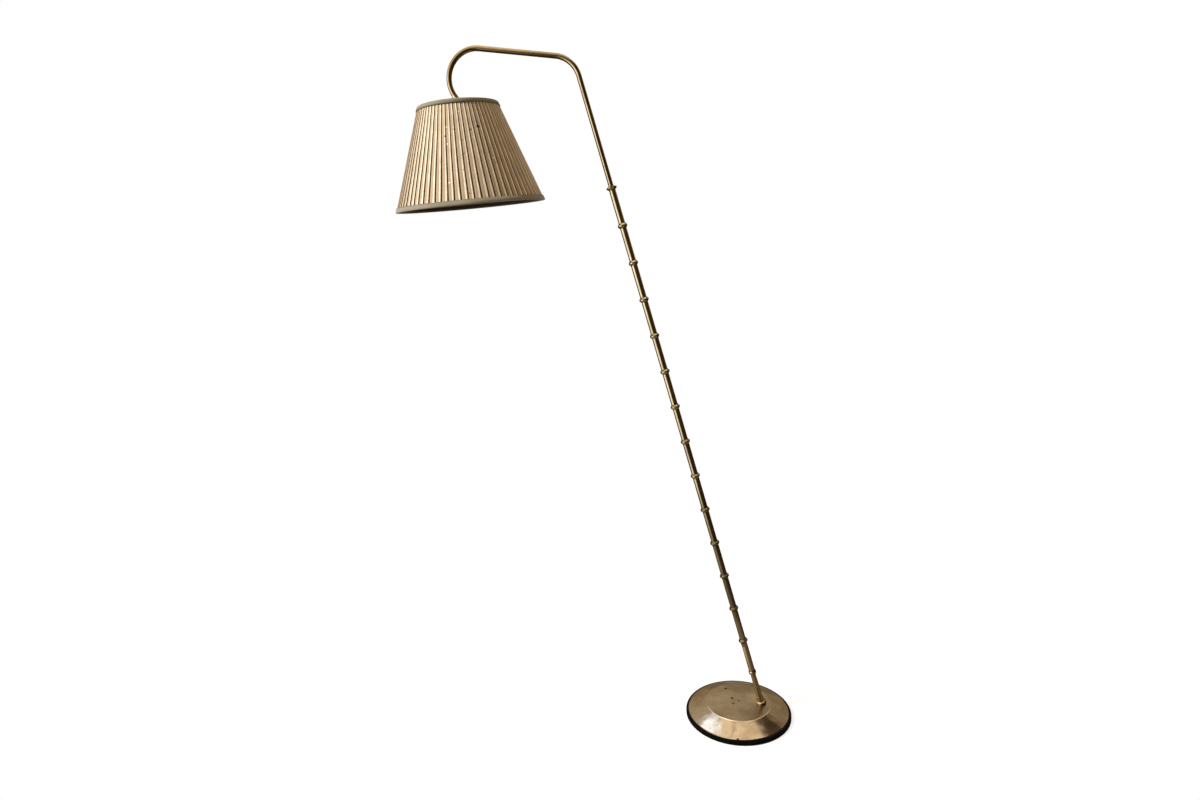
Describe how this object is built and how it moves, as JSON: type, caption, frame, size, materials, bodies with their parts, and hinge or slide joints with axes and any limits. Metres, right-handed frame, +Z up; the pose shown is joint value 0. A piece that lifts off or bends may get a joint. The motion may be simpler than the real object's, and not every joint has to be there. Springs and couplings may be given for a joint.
{
  "type": "floor lamp",
  "caption": "Floor lamp with a weighted round base, a leaning bamboo-look brass stem, a bent arm that slides and turns in it, and a knife-pleated shade on a tilting knuckle.",
  "frame": {"origin": "on the floor under the middle of the round base", "axes": "+Z up; the stem leans towards -X in the plane y = 0; -Y faces the picture's viewer"},
  "size_m": [0.8747, 0.3337, 1.5588],
  "materials": {
    "brass_base": "satin brass with brown patina",
    "rubber": "matte",
    "cast_weight": "matte",
    "steel": "satin",
    "brass_stem": "aged satin brass",
    "brass_arm": "polished aged brass",
    "brass_fittings": "polished brass",
    "nylon_bush": "matte",
    "porcelain": "gloss",
    "key_plastic": "gloss",
    "bulb_glass": "opal gloss",
    "wire": "satin",
    "shade_liner": "matte",
    "shade_cloth": "matte pleated cotton",
    "shade_tape": "matte woven tape"
  },
  "bodies": {
    "base": {"base_cover": "brass_base", "rubber_rim": "rubber", "base_weight": "cast_weight", "base_plate": "steel", "plate_screws": "steel", "base_stud": "steel", "stud_washer": "steel", "stud_nut": "steel", "foot_bead": "brass_stem", "stub_tube": "brass_stem", "stem_end_collar": "brass_stem", "stem_tube": "brass_stem", "stem_ring_01": "brass_stem", "stem_ring_02": "brass_stem", "stem_ring_03": "brass_stem", "stem_ring_04": "brass_stem", "stem_ring_05": "brass_stem", "stem_ring_06": "brass_stem", "stem_ring_07": "brass_stem", "stem_ring_08": "brass_stem", "stem_ring_09": "brass_stem", "stem_ring_10": "brass_stem", "stem_ring_11": "brass_stem", "stem_ring_12": "brass_stem", "stem_ring_13": "brass_stem", "stem_top_collar": "brass_arm", "stem_bush": "nylon_bush"},
    "guide": {"guide_bush": "nylon_bush"},
    "arm": {"arm_tube": "brass_arm", "arm_spindle": "steel", "spindle_nut": "steel", "swivel_stud": "brass_fittings"},
    "knuckle": {"knuckle_fork": "brass_fittings", "knuckle_screw": "steel", "knuckle_washer": "steel", "knuckle_nut": "brass_fittings"},
    "head": {"knuckle_tongue": "brass_fittings", "holder_cap": "brass_fittings", "holder_lock_nut": "brass_fittings", "holder_core": "porcelain", "holder_shell": "brass_fittings", "holder_contact": "brass_fittings", "holder_skirt": "brass_fittings", "shade_nut_upper": "brass_fittings", "shade_nut_lower": "brass_fittings", "bulb_cap": "brass_fittings", "bulb_glass": "bulb_glass", "shade_spider": "wire", "shade_top_hoop": "wire", "shade_bottom_hoop": "wire", "shade_liner": "shade_liner", "shade_pleats": "shade_cloth", "shade_top_binding": "shade_tape", "shade_bottom_binding": "shade_tape"},
    "switch": {"switch_key": "key_plastic"}
  },
  "joints": [
    {"name": "arm_slide", "type": "slide", "parent": "base", "child": "guide", "axis": [-0.2509, 0, 0.968], "range_m": [-0.237, 0.221]},
    {"name": "arm_swivel", "type": "hinge", "parent": "guide", "child": "arm", "pos_m": [0.055, 0, 0.0296], "axis": [-0.2509, 0, 0.968], "range_deg": [-170, 170]},
    {"name": "head_swivel", "type": "hinge", "parent": "arm", "child": "knuckle", "pos_m": [-0.59208, 0, 1.4499], "axis": [-0.4687, 0, 0.8834], "range_deg": [-45, 45]},
    {"name": "head_tilt", "type": "hinge", "parent": "knuckle", "child": "head", "pos_m": [-0.59208, 0, 1.4499], "axis": [0.1885, 0.977, 0.1], "range_deg": [-30, 30]},
    {"name": "switch_turn", "type": "hinge", "parent": "head", "child": "switch", "pos_m": [-0.59096, 0.00241, 1.42424], "axis": [-0.1885, -0.977, -0.1], "continuous": true}
  ]
}
